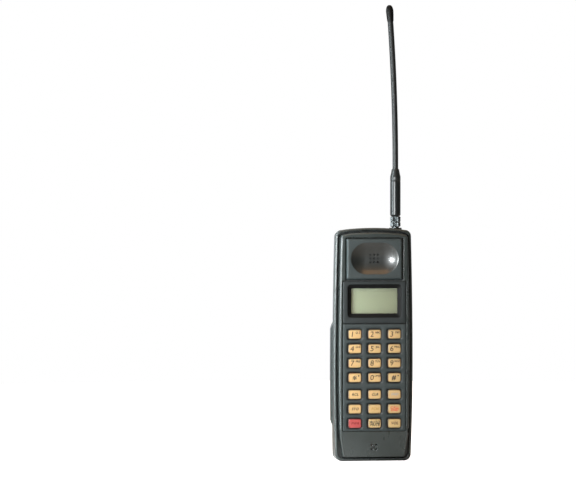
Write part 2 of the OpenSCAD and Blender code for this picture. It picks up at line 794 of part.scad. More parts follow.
module antenna_coil() color([0.72, 0.45, 0.25]) on_antenna(199.3) difference() {
    cylinder(r = 2.4, h = whip_foot - 200);
    translate([0, 0, -cut]) cylinder(r = 1.6, h = far);
}

front_case();
rear_case();
earpiece_panel();
display_bezel();
keypad_panel();
display_lens();
case_screws();
keypad_mat();
keypad_board();
lcd_glass();
lcd_holder();
light_guide();
earpiece_capsule();
earpiece_gasket();
microphone();
microphone_boot();
ringer();
logic_board();
chassis_frame();
radio_board();
shield_cans();
duplexer();
system_connector();
battery_case();
battery_cover();
battery_cells();
charging_contacts();
battery_terminals();
terminal_springs();
battery_latch();
latch_spring();
antenna_socket();
socket_insulator();
antenna_collar();
antenna_ferrule();
antenna_boot();
antenna_whip();
antenna_tip();
antenna_coil();
for (row = [0:6], column = [0:2])
    key(column, row, KEY_NAMES[row][column] == "key_power" ? [0.85, 0.3, 0.32] : [0.93, 0.78, 0.5]);
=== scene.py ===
"""Looks of an early hand-held mobile phone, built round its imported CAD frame."""

import json
import math

import bmesh
import bpy
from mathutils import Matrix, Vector


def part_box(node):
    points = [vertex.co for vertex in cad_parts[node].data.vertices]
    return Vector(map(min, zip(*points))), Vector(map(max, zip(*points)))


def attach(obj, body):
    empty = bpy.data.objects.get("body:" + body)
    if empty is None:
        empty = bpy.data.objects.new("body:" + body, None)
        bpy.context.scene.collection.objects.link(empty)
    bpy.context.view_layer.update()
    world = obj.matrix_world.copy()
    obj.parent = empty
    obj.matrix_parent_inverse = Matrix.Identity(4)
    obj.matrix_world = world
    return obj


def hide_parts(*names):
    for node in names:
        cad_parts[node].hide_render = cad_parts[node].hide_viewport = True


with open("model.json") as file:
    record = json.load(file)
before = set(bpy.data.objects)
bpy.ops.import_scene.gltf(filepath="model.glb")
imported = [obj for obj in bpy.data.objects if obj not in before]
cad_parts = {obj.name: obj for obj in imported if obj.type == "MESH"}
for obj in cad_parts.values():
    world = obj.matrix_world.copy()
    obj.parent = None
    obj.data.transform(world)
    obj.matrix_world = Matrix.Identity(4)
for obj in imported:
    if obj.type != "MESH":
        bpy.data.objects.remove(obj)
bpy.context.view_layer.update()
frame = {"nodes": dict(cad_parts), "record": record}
MM = 0.001
# Points closer than this are joined, in metres, and places nearer than this count as equal, in millimetres
JOIN = 2e-6
NEAR = 1e-3

# ---------- materials ----------


def srgb(r, g, b):
    """Linear colour from 0 to 255 sRGB."""
    line = [c / 255 for c in (r, g, b)]
    return [c / 12.92 if c <= 0.04045 else ((c + 0.055) / 1.055) ** 2.4 for c in line] + [1.0]


class Nodes:
    """A material's nodes, with its Principled shader and the piece's own coordinates."""

    def __init__(self, name):
        self.mat = bpy.data.materials.new(name)
        self.mat.use_nodes = True
        self.tree = self.mat.node_tree
        self.shader = self.tree.nodes["Principled BSDF"]
        self.here = self.add("ShaderNodeTexCoord").outputs["Object"]

    def add(self, kind, **fields):
        node = self.tree.nodes.new(kind)
        for key, value in fields.items():
            setattr(node, key, value)
        return node

    def link(self, source, target):
        self.tree.links.new(source, target)

    def set(self, **values):
        for key, value in values.items():
            self.shader.inputs[key.replace("_", " ")].default_value = value

    def noise(self, scale, detail=2.0, rough=0.5, stretch=None):
        """Noise over the piece: scale is in cells for each metre."""
        at = self.here
        if stretch:
            mapping = self.add("ShaderNodeMapping")
            mapping.inputs["Scale"].default_value = stretch
            self.link(at, mapping.inputs["Vector"])
            at = mapping.outputs["Vector"]
        node = self.add("ShaderNodeTexNoise")
        node.inputs["Scale"].default_value = scale
        node.inputs["Detail"].default_value = detail
        node.inputs["Roughness"].default_value = rough
        self.link(at, node.inputs["Vector"])
        return node.outputs["Fac"]

    def fit(self, value, low, high, to_low=0.0, to_high=1.0):
        node = self.add("ShaderNodeMapRange")
        ends = {"From Min": low, "From Max": high, "To Min": to_low, "To Max": to_high}
        for key, number in ends.items():
            node.inputs[key].default_value = number
        self.link(value, node.inputs["Value"])
        return node.outputs["Result"]

    def math(self, operation, a, b):
        node = self.add("ShaderNodeMath", operation=operation)
        for socket, value in zip(node.inputs, (a, b)):
            if isinstance(value, (int, float)):
                socket.default_value = value
            else:
                self.link(value, socket)
        return node.outputs[0]

    def mix(self, factor, a, b):
        """Mix of two colours, each a colour or an output."""
        node = self.add("ShaderNodeMix", data_type="RGBA")
        self.link(factor, node.inputs[0])
        for socket, value in ((node.inputs[6], a), (node.inputs[7], b)):
            if isinstance(value, (list, tuple)):
                socket.default_value = value
            else:
                self.link(value, socket)
        return node.outputs[2]

    def axis(self, name):
        node = self.add("ShaderNodeSeparateXYZ")
        self.link(self.here, node.inputs[0])
        return node.outputs[name]

    def attribute(self, name):
        return self.add("ShaderNodeAttribute", attribute_name=name).outputs["Fac"]

    def color(self, source):
        self.link(source, self.shader.inputs["Base Color"])

    def rough(self, source):
        self.link(source, self.shader.inputs["Roughness"])

    def bump(self, height, strength, depth, edge=0.0):
        """Bump of a height from 0 to 1, over edges rounded to a radius. Depth and radius in millimetres."""
        node = self.add("ShaderNodeBump")
        if edge:
            bevel = self.add("ShaderNodeBevel", samples=6)
            bevel.inputs["Radius"].default_value = edge * MM
            self.link(bevel.outputs["Normal"], node.inputs["Normal"])
        node.inputs["Strength"].default_value = strength
        node.inputs["Distance"].default_value = depth * MM
        self.link(height, node.inputs["Height"])
        self.link(node.outputs["Normal"], self.shader.inputs["Normal"])


# Painted shade in grooves and gaps between parts, where ambient occlusion finds the surface closed in: its
# colour and roughness, and the openness at which it begins and is full
GROOVE_SHADE = srgb(8, 10, 10)
GROOVE_SHADE_ROUGH = 0.9
GROOVE_SHADE_RANGE = (0.75, 0.3)


def moulded(name, dark, light, rough, grain, depth, coat=0.0, gloss=0.5, edge=0.0, groove_shade=0.0):
    """Moulded plastic, rubber or ink: a little mottled and finely grained.

    depth is the grain's, edge rounds the edges, and groove_shade is how far painted shade reaches out of a
    groove. Millimetres.
    """
    n = Nodes(name)
    colour = n.mix(n.fit(n.noise(55, 4, 0.6), 0.35, 0.65), dark, light)
    smears = n.noise(150, 2, 0.5, (1.0, 1.0, 0.45))
    dull = n.fit(smears, 0.3, 0.72, rough - 0.04, rough + 0.04)
    # Painted shade: darker and duller where ambient occlusion finds the surface closed in, in grooves and
    # between parts
    if groove_shade:
        open_air = n.add("ShaderNodeAmbientOcclusion", samples=6)
        open_air.inputs["Distance"].default_value = groove_shade * MM
        shade_share = n.fit(open_air.outputs["AO"], *GROOVE_SHADE_RANGE)
        colour = n.mix(shade_share, colour, GROOVE_SHADE)
        dull = n.math("MAXIMUM", dull, n.math("MULTIPLY", shade_share, GROOVE_SHADE_ROUGH))
    n.color(colour)
    n.rough(dull)
    n.bump(n.noise(grain, 3, 0.55), 0.5, depth, edge)
    n.set(Specular_IOR_Level=gloss, Coat_Weight=coat, Coat_Roughness=0.13)
    return n.mat


def metal(name, dark, light, rough, brushing=(1, 1, 1)):
    n = Nodes(name)
    n.color(n.mix(n.fit(n.noise(400, 4, 0.6), 0.35, 0.65), dark, light))
    n.rough(n.fit(n.noise(900, 3, 0.6, brushing), 0.3, 0.7, rough - 0.07, rough + 0.1))
    n.bump(n.noise(3000, 2, 0.5, brushing), 0.25, 0.01)
    n.set(Metallic=1.0)
    return n.mat


def key_plastic(name, warm, pale, edge, worn):
    """Key plastic with painted light, lighter and warmer on the left of the keypad and darker on the right;
    darker low down and in random patches; and painted shade round each cap's edge.
    """
    n = Nodes(name)
    # Painted light: the amber keys run from a lighter, warmer colour on the left to a darker one on the
    # right, as the light falls from the left
    shade_to_right = n.fit(n.axis("X"), -20 * MM, 20 * MM)
    painted_light_base = n.mix(shade_to_right, warm, pale)
    # Darker towards the bottom of the keypad, and darker in random patches
    painted_light_base = n.mix(n.fit(n.axis("Z"), 55 * MM, 28 * MM, 0.0, 0.75), painted_light_base, worn)
    painted_light_base = n.mix(n.fit(n.noise(350, 3, 0.6), 0.35, 0.75, 0.0, 0.3), painted_light_base, worn)
    # Painted shade round each cap's edge, in the dark edge colour, by the cap's edge attribute
    rim = n.math("POWER", n.attribute("edge"), 1.4)
    n.color(n.mix(rim, painted_light_base, edge))
    n.rough(n.fit(n.noise(500, 4, 0.6), 0.3, 0.7, 0.27, 0.42))
    n.bump(n.noise(2600, 3, 0.5), 0.35, 0.012)
    n.set(Specular_IOR_Level=0.5, Subsurface_Weight=0.12, Subsurface_Scale=0.6 * MM)
    return n.mat


def display_green():
    """The display's reflector seen through its liquid crystal, a little cloudy, with painted light: lighter
    to the left and darker to the right, as the light falls from the left.
    """
    n = Nodes("lcd_green")
    # Painted light: lighter on the left, darker on the right
    side = n.fit(n.axis("X"), -20 * MM, 20 * MM)
    painted_light_base = n.mix(side, srgb(152, 170, 138), srgb(112, 124, 90))
    cloud = n.fit(n.noise(70, 3, 0.5), 0.3, 0.7, 0.0, 0.35)
    n.color(n.mix(cloud, painted_light_base, srgb(134, 148, 112)))
    n.rough(n.fit(n.noise(1500, 2, 0.5), 0.3, 0.7, 0.42, 0.55))
    n.bump(n.noise(6000, 2, 0.5), 0.3, 0.006)
    return n.mat


def clear_window():
    n = Nodes("window_clear")
    n.color(n.mix(n.fit(n.noise(120, 2), 0.3, 0.7), [0.72, 0.76, 0.7, 1], [0.8, 0.84, 0.78, 1]))
    n.rough(n.fit(n.noise(700, 3), 0.3, 0.7, 0.03, 0.09))
    n.set(Alpha=0.05, Specular_IOR_Level=0.5)
    return n.mat


# The floor lights the phone only from close by: glow near and far, over distances from a spot to its left
FLOOR_GLOW = (1.0, 0.05)
GLOW_REACH = (0.035, 0.075)
GLOW_SPOT = (-0.06, -0.015, 0.0)


def pale_floor():
    """White table that is lit from within a little, as an overexposed sweep looks."""
    n = Nodes("floor_pale")
    n.set(Emission_Color=[1, 1, 1, 1])
    seen = n.add("ShaderNodeLightPath").outputs["Is Camera Ray"]
    reach = n.add("ShaderNodeVectorMath", operation="DISTANCE")
    n.link(n.here, reach.inputs[0])
    reach.inputs[1].default_value = GLOW_SPOT
    glow = n.fit(reach.outputs["Value"], *GLOW_REACH, *FLOOR_GLOW)
    n.link(n.math("MAXIMUM", glow, n.math("MULTIPLY", seen, 0.9)), n.shader.inputs["Emission Strength"])
    white = n.mix(n.fit(n.noise(3, 2), 0.3, 0.7), [0.93, 0.93, 0.93, 1], [0.96, 0.96, 0.96, 1])
    n.color(n.mix(seen, [0.6, 0.6, 0.6, 1], white))
    n.rough(n.fit(n.noise(5, 2), 0.3, 0.7, 0.75, 0.85))
    return n.mat


# Case, panel and bezel get painted shade in their grooves and gaps
CASE = moulded("case_plastic", srgb(45, 54, 54), srgb(49, 59, 59), 0.3, 2200, 0.007, edge=0.9, groove_shade=2.2)
PANEL = moulded("panel_plastic", srgb(46, 57, 59), srgb(50, 61, 63), 0.52, 2600, 0.012, 0.0, 0.29, groove_shade=1.8)
BEZEL = moulded("bezel_plastic", srgb(30, 38, 40), srgb(34, 42, 44), 0.52, 2600, 0.012, 0.0, 0.25, groove_shade=1.8)
DISH = moulded("dish_gloss", srgb(27, 32, 31), srgb(31, 36, 35), 0.4, 1400, 0.004, 0.4, 0.5)
BLACK = moulded("black_plastic", srgb(16, 17, 17), srgb(23, 25, 25), 0.38, 2600, 0.02)
# Near-black round the display: a black border, darkened further as painted shade in the deep recess
RECESS_BLACK_AND_SHADE = moulded("recess_black_and_shade", srgb(6, 7, 7), srgb(11, 12, 12), 0.55, 2000, 0.01, 0.0, 0.1)
BOOT = moulded("boot_rubber", srgb(26, 31, 32), srgb(31, 36, 37), 0.33, 1800, 0.012, 0.04, 0.3)
WHIP = moulded("whip_sheath", srgb(24, 28, 29), srgb(30, 34, 35), 0.46, 1500, 0.02, 0.0, 0.3)
TIP = moulded("tip_rubber", srgb(8, 8, 8), srgb(12, 12, 12), 0.55, 1800, 0.03, 0.0, 0.15)
BOARD = moulded("board_green", srgb(20, 82, 50), srgb(30, 100, 62), 0.35, 900, 0.02)
SILICONE = moulded("mat_silicone", srgb(140, 140, 134), srgb(156, 156, 150), 0.6, 900, 0.03)
CELL = moulded("cell_sleeve", srgb(196, 186, 140), srgb(212, 202, 158), 0.3, 900, 0.02)
MILKY = moulded("guide_milky", srgb(215, 222, 212), srgb(228, 234, 224), 0.3, 900, 0.01)
WHITE = moulded("insulator_white", srgb(226, 226, 220), srgb(238, 238, 234), 0.4, 900, 0.01)
# Key colours: left and right as painted light, darker low down, then the painted shade round each cap's edge
AMBER = key_plastic(
    "key_amber", srgb(214, 182, 126), srgb(203, 175, 124), srgb(42, 26, 16), srgb(192, 166, 116)
)
RED = key_plastic("key_red", srgb(188, 84, 82), srgb(190, 88, 88), srgb(50, 20, 20), srgb(178, 76, 76))
NICKEL = metal("nickel", srgb(61, 64, 65), srgb(86, 90, 91), 0.36)
STEEL = metal("steel", srgb(168, 168, 170), srgb(196, 196, 198), 0.34, (1, 1, 8))
GILT = metal("gilt", srgb(206, 164, 84), srgb(226, 188, 110), 0.28)
COPPER = metal("copper", srgb(176, 98, 56), srgb(196, 118, 74), 0.35)
INK = moulded("legend_ink", srgb(48, 20, 12), srgb(58, 28, 18), 0.5, 900, 0.005)
INK_DARK = moulded("legend_black", srgb(20, 15, 14), srgb(28, 22, 20), 0.5, 900, 0.005)
INK_RED = moulded("legend_red", srgb(214, 44, 34), srgb(222, 58, 46), 0.5, 900, 0.005)
INK_DEEP = moulded("legend_deep_red", srgb(128, 12, 20), srgb(140, 18, 26), 0.5, 900, 0.005)
INK_FADED = moulded("legend_faded", srgb(166, 164, 160), srgb(178, 176, 174), 0.5, 900, 0.005)
INK_WORN = moulded("legend_worn", srgb(178, 142, 70), srgb(186, 152, 80), 0.5, 900, 0.005)
FLOOR = pale_floor()
WINDOW = clear_window()
LCD = display_green()

# ---------- meshes ----------

# Steps of a rounded rectangle: in each corner, and along each side
CORNER_STEPS = 8
SIDE_STEPS = 5


def rounded_ring(w, h, r, y, x=0.0, z=0.0):
    """Points of a rounded rectangle that faces the front, as many whatever its size. Millimetres."""
    r = min(r, w / 2, h / 2)
    cx, cz = w / 2 - r, h / 2 - r
    arcs = []
    for start, sx, sz in ((-90, 1, -1), (0, 1, 1), (90, -1, 1), (180, -1, -1)):
        arcs.append([])
        for i in range(CORNER_STEPS + 1):
            a = math.radians(start + 90 * i / CORNER_STEPS)
            arcs[-1].append(Vector((sx * cx + r * math.cos(a), 0, sz * cz + r * math.sin(a))))
    points = []
    for arc, after in zip(arcs, arcs[1:] + arcs[:1]):
        points += arc
        points += [arc[-1].lerp(after[0], i / SIDE_STEPS) for i in range(1, SIDE_STEPS)]
    return [Vector((p.x + x, y, p.z + z)) * MM for p in points]


def circle_ring(radius, z, centre, count=48, wave=0.0, teeth=0):
    """Points of a circle about an upright axis, with an optional toothed edge. Millimetres."""
    points = []
    for i in range(count):
        a = 2 * math.pi * i / count
        r = radius
        if teeth:
            r -= wave * abs(((i * teeth / count) % 1.0) * 2 - 1)
        points.append(Vector((centre[0] + r * math.cos(a), centre[1] + r * math.sin(a), z)) * MM)
    return points


def loft(name, rings, cap_first=True, cap_last=True, closed=False, marks=(), sharp=38):
    """A mesh through rings of equally many points. marks are (first span, last span, material index)."""
    bm = bmesh.new()
    loops = [[bm.verts.new(p) for p in ring] for ring in rings]
    count = len(loops[0])
    pairs = list(zip(loops, loops[1:] + (loops[:1] if closed else [])))
    for k, (a, b) in enumerate(pairs):
        for i in range(count):
            j = (i + 1) % count
            face = bm.faces.new((a[i], a[j], b[j], b[i]))
            for first, last, index in marks:
                if first <= k <= last:
                    face.material_index = index
    if not closed:
        if cap_first:
            bm.faces.new(list(reversed(loops[0])))
        if cap_last:
            bm.faces.new(loops[-1])
    bmesh.ops.recalc_face_normals(bm, faces=bm.faces[:])
    return piece_from(name, bm, sharp)


def piece_from(name, bm, sharp=38):
    mesh = bpy.data.meshes.new(name)
    bm.to_mesh(mesh)
    bm.free()
    mesh.shade_smooth()
    mesh.set_sharp_from_angle(angle=math.radians(sharp))
    obj = bpy.data.objects.new(name, mesh)
    bpy.context.scene.collection.objects.link(obj)
    return obj


def wear(obj, *materials):
    """Gives a mesh its materials without disturbing which face has which."""
    slots = obj.data.materials
    for i, mat in enumerate(materials):
        if i < len(slots):
            slots[i] = mat
        else:
            slots.append(mat)


def node_box(name):
    """Centre, size and both corners of a CAD node in millimetres."""
    low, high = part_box(name)
    return (low + high) / 2 / MM, (high - low) / MM, low / MM, high / MM


# ---------- shading of the CAD pieces that stay ----------


def soft_shading(angle):
    """Node group that joins split corners and shades smooth up to an angle between faces."""
    group = bpy.data.node_groups.new("soft_shading", "GeometryNodeTree")
    group.interface.new_socket("Geometry", in_out="INPUT", socket_type="NodeSocketGeometry")
    group.interface.new_socket("Geometry", in_out="OUTPUT", socket_type="NodeSocketGeometry")
    begin = group.nodes.new("NodeGroupInput")
    end = group.nodes.new("NodeGroupOutput")
    join = group.nodes.new("GeometryNodeMergeByDistance")
    join.inputs["Distance"].default_value = JOIN
    edge = group.nodes.new("GeometryNodeInputMeshEdgeAngle")
    sharp = group.nodes.new("FunctionNodeCompare")
    sharp.operation = "GREATER_THAN"
    sharp.inputs["B"].default_value = math.radians(angle)
    normals = group.nodes.new("GeometryNodeSetMeshNormal")
    normals.inputs["Remove Custom"].default_value = True
    group.links.new(begin.outputs[0], join.inputs["Geometry"])
    group.links.new(edge.outputs["Unsigned Angle"], sharp.inputs["A"])
    group.links.new(join.outputs["Geometry"], normals.inputs["Mesh"])
    group.links.new(sharp.outputs["Result"], normals.inputs["Edge Sharpness"])
    group.links.new(normals.outputs["Mesh"], end.inputs[0])
    return group


SOFT = soft_shading(34)
SLOT_MATERIALS = {
    "case_plastic": CASE,
    "panel_plastic": PANEL,
    "lens_clear": WINDOW,
    "key_amber": AMBER,
    "key_red": RED,
    "rubber_grey": SILICONE,
    "rubber_black": BLACK,
    "board_green": BOARD,
    "lcd_glass": LCD,
    "dark_plastic": BLACK,
    "light_guide": MILKY,
    "bright_steel": STEEL,
    "chassis_metal": STEEL,
    "filter_metal": NICKEL,
    "cell_wrap": CELL,
    "gilt_contact": GILT,
    "brass": NICKEL,
    "insulator_white": WHITE,
    "nickel": NICKEL,
    "boot_rubber": BOOT,
    "whip_sheath": WHIP,
    "tip_rubber": TIP,
    "copper_wire": COPPER,
}
# The earpiece's capsule is dark, so the holes in front of it are too
NODE_MATERIALS = {"earpiece_capsule": BLACK}


def dress_cad():
    """Gives every CAD piece its slot's material and soft shading."""
    for part in frame["record"]["subparts"]:
        obj = frame["nodes"][part["node"]]
        wear(obj, NODE_MATERIALS.get(part["node"], SLOT_MATERIALS[part["material_slot"]]))
        obj.modifiers.new("soft_shading", "NODES").node_group = SOFT
        even = obj.modifiers.new("even_normals", "WEIGHTED_NORMAL")
        even.mode = "FACE_AREA"
        even.keep_sharp = True


# ---------- chin ----------

# The rounded edge: its radius, how far inside the chin's corner it starts, how far it stands proud,
# the degrees that it turns through, and its rings along the chin
CHIN_ROUND = 1.6
CHIN_INSET = 0.45
CHIN_PROUD = 0.03
CHIN_TURN = 72
CHIN_RINGS = 24


def chin_corners():
    """Upper and lower corner of the chin's left edge, and the chin's normal, read from the front case."""
    mesh = frame["nodes"]["front_case"].data
    slope = [p for p in mesh.polygons if p.normal.y < -0.97 and p.normal.z < -0.1]
    normal = max(slope, key=lambda p: p.area).normal.copy()
    flat = [p for p in slope if p.normal.dot(normal) > 0.9999]
    corners = [mesh.vertices[i].co.copy() for p in flat for i in p.vertices]
    return min(corners, key=lambda c: c.x), min(corners, key=lambda c: c.x + c.z), normal


def chin_section():
    """Outline of the rounded edge: (outward from the chin's corner, up from its face) in millimetres."""
    points = []
    for i in range(10):
        a = math.radians(CHIN_TURN * i / 9)
        points.append((CHIN_ROUND * math.sin(a) - CHIN_INSET, CHIN_PROUD - CHIN_ROUND * (1 - math.cos(a))))
    return points + [(points[-1][0] - 0.1, -1.7), (-CHIN_INSET, -0.9)]


def build_chin_edges():
    """Rounds off both sides of the chin where they drop into the groove."""
    top, foot, normal = chin_corners()
    outward = (foot - top).cross(normal).normalized()
    outward *= -math.copysign(1, outward.x)
    for side, name in ((1, "chin_edge_left"), (-1, "chin_edge_right")):
        rings = []
        for i in range(CHIN_RINGS + 1):
            t = i / CHIN_RINGS
            taper = min(1, 8 * t + 0.05, 12 * (1 - t) + 0.05)
            full = math.sqrt(1 - (1 - taper) ** 2)
            ring = []
            for out, up in chin_section():
                aside = out if out < 0 else out * full
                p = top.lerp(foot, t) + (outward * aside + normal * up) * MM
                ring.append(Vector((side * p.x, p.y, p.z)))
            rings.append(ring)
        edge = loft(name, rings)
        wear(edge, CASE)
        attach(edge, "handset")


# ---------- keys ----------

CAP_W, CAP_H = 10.4, 7.4
CAP_CORNER = 1.55
CAP_EDGE = 0.55
CAP_DRAFT = 0.06
CROWN = 0.16
# The flange under the panel: how far it sticks out, how far back it lies, and its thickness
FLANGE, FLANGE_BACK, FLANGE_T = 1.1, 2.8, 1.1
INK_PROUD = 0.02
# Heights of the letters
KEY_DIGIT = 6.0
SIGN_SIZE = {"*": 7.6, "#": 5.6}
LETTERS = 2.2
WORD = 2.75
SLANT = 0.1
WORD_SLANT = 0.15
WORD_SPACING = 1.12
# How far apart the letters are struck twice
SIGN_BOLD, DIGIT_BOLD, LETTER_BOLD, WORD_BOLD, RED_BOLD = 0.4, 0.12, 0.14, 0.28, 0.14
# Places on a cap, from its middle
SIGN_AT = {"*": (-0.6, -1.6), "#": (-0.6, -0.1)}
DIGIT_AT = (-2.3, -0.1)
LETTERS_AT = (2.4, 1.35)
DOT_AT, DOT_R = (3.0, 1.5), 0.6
WORD_RIGHT = 0.2
LINE_RISE = 1.0

# key: (digit or sign, its small letters, or "." for a dot)
LEGENDS = {
    "key_1": ("1", "Q Z"),
    "key_2": ("2", "ABC"),
    "key_3": ("3", "DEF"),
    "key_4": ("4", "GHI"),
    "key_5": ("5", "JKL"),
    "key_6": ("6", "MNO"),
    "key_7": ("7", "PRS"),
    "key_8": ("8", "TUV"),
    "key_9": ("9", "WXY"),
    "key_star": ("*", "."),
    "key_0": ("0", "OPER"),
    "key_hash": ("#", "."),
}
# key: (lines of its word, ink)
WORDS = {
    "key_recall": (("RCL",), INK_DARK),
    "key_clear": (("CLR",), INK_DARK),
    "key_send": (("SND",), INK_FADED),
    "key_store": (("STO",), INK),
    "key_function": (("FCN",), INK_WORN),
    "key_end": (("CALL", "END"), INK_RED),
    "key_power": (("PWR",), INK_DEEP),
    "key_mute": (("AUTO", "MUTE"), INK_DARK),
    "key_volume": (("VOL",), INK),
}


def cap_depth(u, v):
    """How far the crowned top of a cap lies behind its middle, in millimetres, at u, v from the middle."""
    return CROWN * ((2 * u / CAP_W) ** 2 + (2 * v / CAP_H) ** 2) / 2


def edge_arc(steps):
    """Rounded edge from the side wall to the face: shares of (out, back) of the edge's radius."""
    for i in range(steps + 1):
        a = math.pi / 2 * i / steps
        yield math.cos(a), 1 - math.sin(a)


def cap_steps(face, back):
    """Steps of a cap from flange to crown: (place in y, or None on the crown, inset, share of painted shade
    at the edge).
    """
    rim = CAP_DRAFT + CAP_EDGE
    under = face + FLANGE_BACK
    steps = [(back, -FLANGE, 1.0), (under + FLANGE_T, -FLANGE, 1.0), (under, -FLANGE, 1.0)]
    steps += [(under - 0.05, 0.0, 1.0), (face + 1.2, 0.02, 1.0)]
    for i, (out, behind) in enumerate(edge_arc(6)):
        steps.append((face + CAP_EDGE * behind, rim - CAP_EDGE * out, 1 - 0.75 * (i / 6) ** 2))
    steps += [(None, rim + 0.2, 0.12), (None, rim + 0.7, 0.02), (None, rim + 1.7, 0.0), (None, 3.2, 0.0)]
    return steps


def key_cap(name):
    """Crowned cap with a rounded edge and a skirt that goes down into the well."""
    mid, _, low, high = node_box(name)
    face = low.y + INK_PROUD
    steps = cap_steps(face, high.y)
    rings = []
    for y, inset, _ in steps:
        corner = max(CAP_CORNER - inset * 0.8, 0.35)
        ring = rounded_ring(CAP_W - 2 * inset, CAP_H - 2 * inset, corner, 0, mid.x, mid.z)
        for p in ring:
            sag = cap_depth(p.x / MM - mid.x, p.z / MM - mid.z)
            if y is None:
                p.y = (face + sag) * MM
            else:
                p.y = (y + (sag if y < face + 1.0 else 0)) * MM
        rings.append(ring)
    cap = loft("cap_" + name[4:], rings, sharp=50)
    # The edge attribute holds each ring's share of the painted shade round the cap's edge
    edge = cap.data.attributes.new("edge", "FLOAT", "POINT")
    edge.data.foreach_set("value", [share for _, _, share in steps for _ in rings[0]])
    return cap, mid, face


def lettering(text, size, x, z, shear=0.0, bold=0.0, spacing=1.0):
    """Flat letters that face the front, centred on x, z and struck twice, bold apart. Millimetres."""
    curve = bpy.data.curves.new("lettering", "FONT")
    curve.body = text
    curve.size = size * MM
    curve.shear = shear
    curve.align_x = "CENTER"
    curve.align_y = "CENTER"
    curve.space_character = spacing
    curve.resolution_u = 4
    obj = bpy.data.objects.new("lettering", curve)
    bpy.context.scene.collection.objects.link(obj)
    bpy.context.view_layer.update()
    mesh = bpy.data.meshes.new_from_object(obj)
    bpy.data.objects.remove(obj)
    points, faces = [], []
    for shift in (-bold / 2, bold / 2) if bold else (0.0,):
        first = len(points)
        for v in mesh.vertices:
            points.append(Vector((v.co.x + (x + shift) * MM, 0, v.co.y + (z + shift) * MM)))
        faces += [[first + i for i in p.vertices] for p in mesh.polygons]
    return points, faces


def dot(x, z, radius):
    points = []
    for i in range(12):
        a = 2 * math.pi * i / 12
        points.append(Vector(((x + radius * math.cos(a)) * MM, 0, (z + radius * math.sin(a)) * MM)))
    return points, [list(range(12))]


def legend(name, parts, ink, mid, face):
    """Printed legend that lies on a cap's crown."""
    bm = bmesh.new()
    for points, faces in parts:
        verts = [bm.verts.new(p) for p in points]
        for loop in faces:
            if len(set(loop)) == len(loop):
                bm.faces.new([verts[i] for i in loop])
    bmesh.ops.triangulate(bm, faces=bm.faces[:])
    for reach in (2.4, 1.2, 0.8):
        far = [e for e in bm.edges if e.calc_length() > reach * MM]
        bmesh.ops.subdivide_edges(bm, edges=far, cuts=1)
        bmesh.ops.triangulate(bm, faces=bm.faces[:])
    for v in bm.verts:
        sag = cap_depth(v.co.x / MM - mid.x, v.co.z / MM - mid.z)
        v.co.y = (face + sag - INK_PROUD) * MM
    bmesh.ops.recalc_face_normals(bm, faces=bm.faces[:])
    for f in bm.faces:
        if f.normal.y > 0:
            f.normal_flip()
    piece = piece_from("legend_" + name[4:], bm)
    wear(piece, ink)
    return piece


def key_lettering(name, mid):
    """Flat lettering of a key, and the ink that it is printed in."""
    x, z = mid.x, mid.z
    if name in WORDS:
        lines, ink = WORDS[name]
        bold = RED_BOLD if ink is INK_RED else WORD_BOLD
        rises = (LINE_RISE, -LINE_RISE) if len(lines) == 2 else (0.0,)
        parts = [
            lettering(line, WORD, x + WORD_RIGHT, z + rise, WORD_SLANT, bold, WORD_SPACING)
            for line, rise in zip(lines, rises)
        ]
        return parts, ink
    digit, letters = LEGENDS[name]
    if digit in SIGN_AT:
        right, rise = SIGN_AT[digit]
        sign = lettering(digit, SIGN_SIZE[digit], x + right, z + rise, SLANT, SIGN_BOLD)
        return [sign, dot(x + DOT_AT[0], z + DOT_AT[1], DOT_R)], INK_DARK
    number = lettering(digit, KEY_DIGIT, x + DIGIT_AT[0], z + DIGIT_AT[1], SLANT, DIGIT_BOLD)
    small = lettering(letters, LETTERS, x + LETTERS_AT[0], z + LETTERS_AT[1], 0.0, LETTER_BOLD)
    return [number, small], INK


def build_keys():
    for name in LEGENDS | WORDS:
        cap, mid, face = key_cap(name)
        wear(cap, RED if name == "key_power" else AMBER)
        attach(cap, name)
        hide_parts(name)
        mark = legend(name, *key_lettering(name, mid), mid, face)
        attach(mark, name)


# ---------- keypad panel ----------

SEAM = 0.25
PANEL_EDGE = 0.45
WELL_GAP = 0.45
WELL_CORNER = 1.9
WELL_DROP = 0.4
# (how far outside the window, how far behind the face), from the face down into a key's well
WELL_PROFILE = [
    (1.35, 0.0),
    (1.2, 0.03),
    (0.95, 0.16),
    (0.75, 0.3),
    (0.55, WELL_DROP),
    (0.3, WELL_DROP + 0.02),
    (0.12, WELL_DROP + 0.08),
    (0.0, WELL_DROP + 0.28),
    (0.0, 2.6),
]
# The lowest spans of each well are painted black, as painted shade in the gap round the key
SHADED_WELL_SPANS = 3


def cell_ring(x0, x1, z0, z1, w, h, r, mid, y):
    """Points of a rectangle that match a rounded ring's points one to one, so neighbouring cells meet."""
    cx, cz = w / 2 - r, h / 2 - r
    points = []
    for p in rounded_ring(w, h, r, 0, 0, 0):
        u, v = p.x / MM, p.z / MM
        over_x, over_z = abs(u) - cx, abs(v) - cz
        sx, sz = math.copysign(1, u), math.copysign(1, v)
        far_x = (x1 - mid.x) if u > 0 else (mid.x - x0)
        far_z = (z1 - mid.z) if v > 0 else (mid.z - z0)
        if over_x > 1e-6 and over_z > 1e-6:
            a = math.atan2(over_z, over_x)
            if a <= math.pi / 4 + 1e-9:
                u, v = sx * far_x, sz * (cz + (far_z - cz) * math.tan(a))
            else:
                u, v = sx * (cx + (far_x - cx) / math.tan(a)), sz * far_z
        elif over_x > r - 1e-4:
            u = sx * far_x
        else:
            v = sz * far_z
        points.append(Vector((mid.x + u, y, mid.z + v)) * MM)
    return points


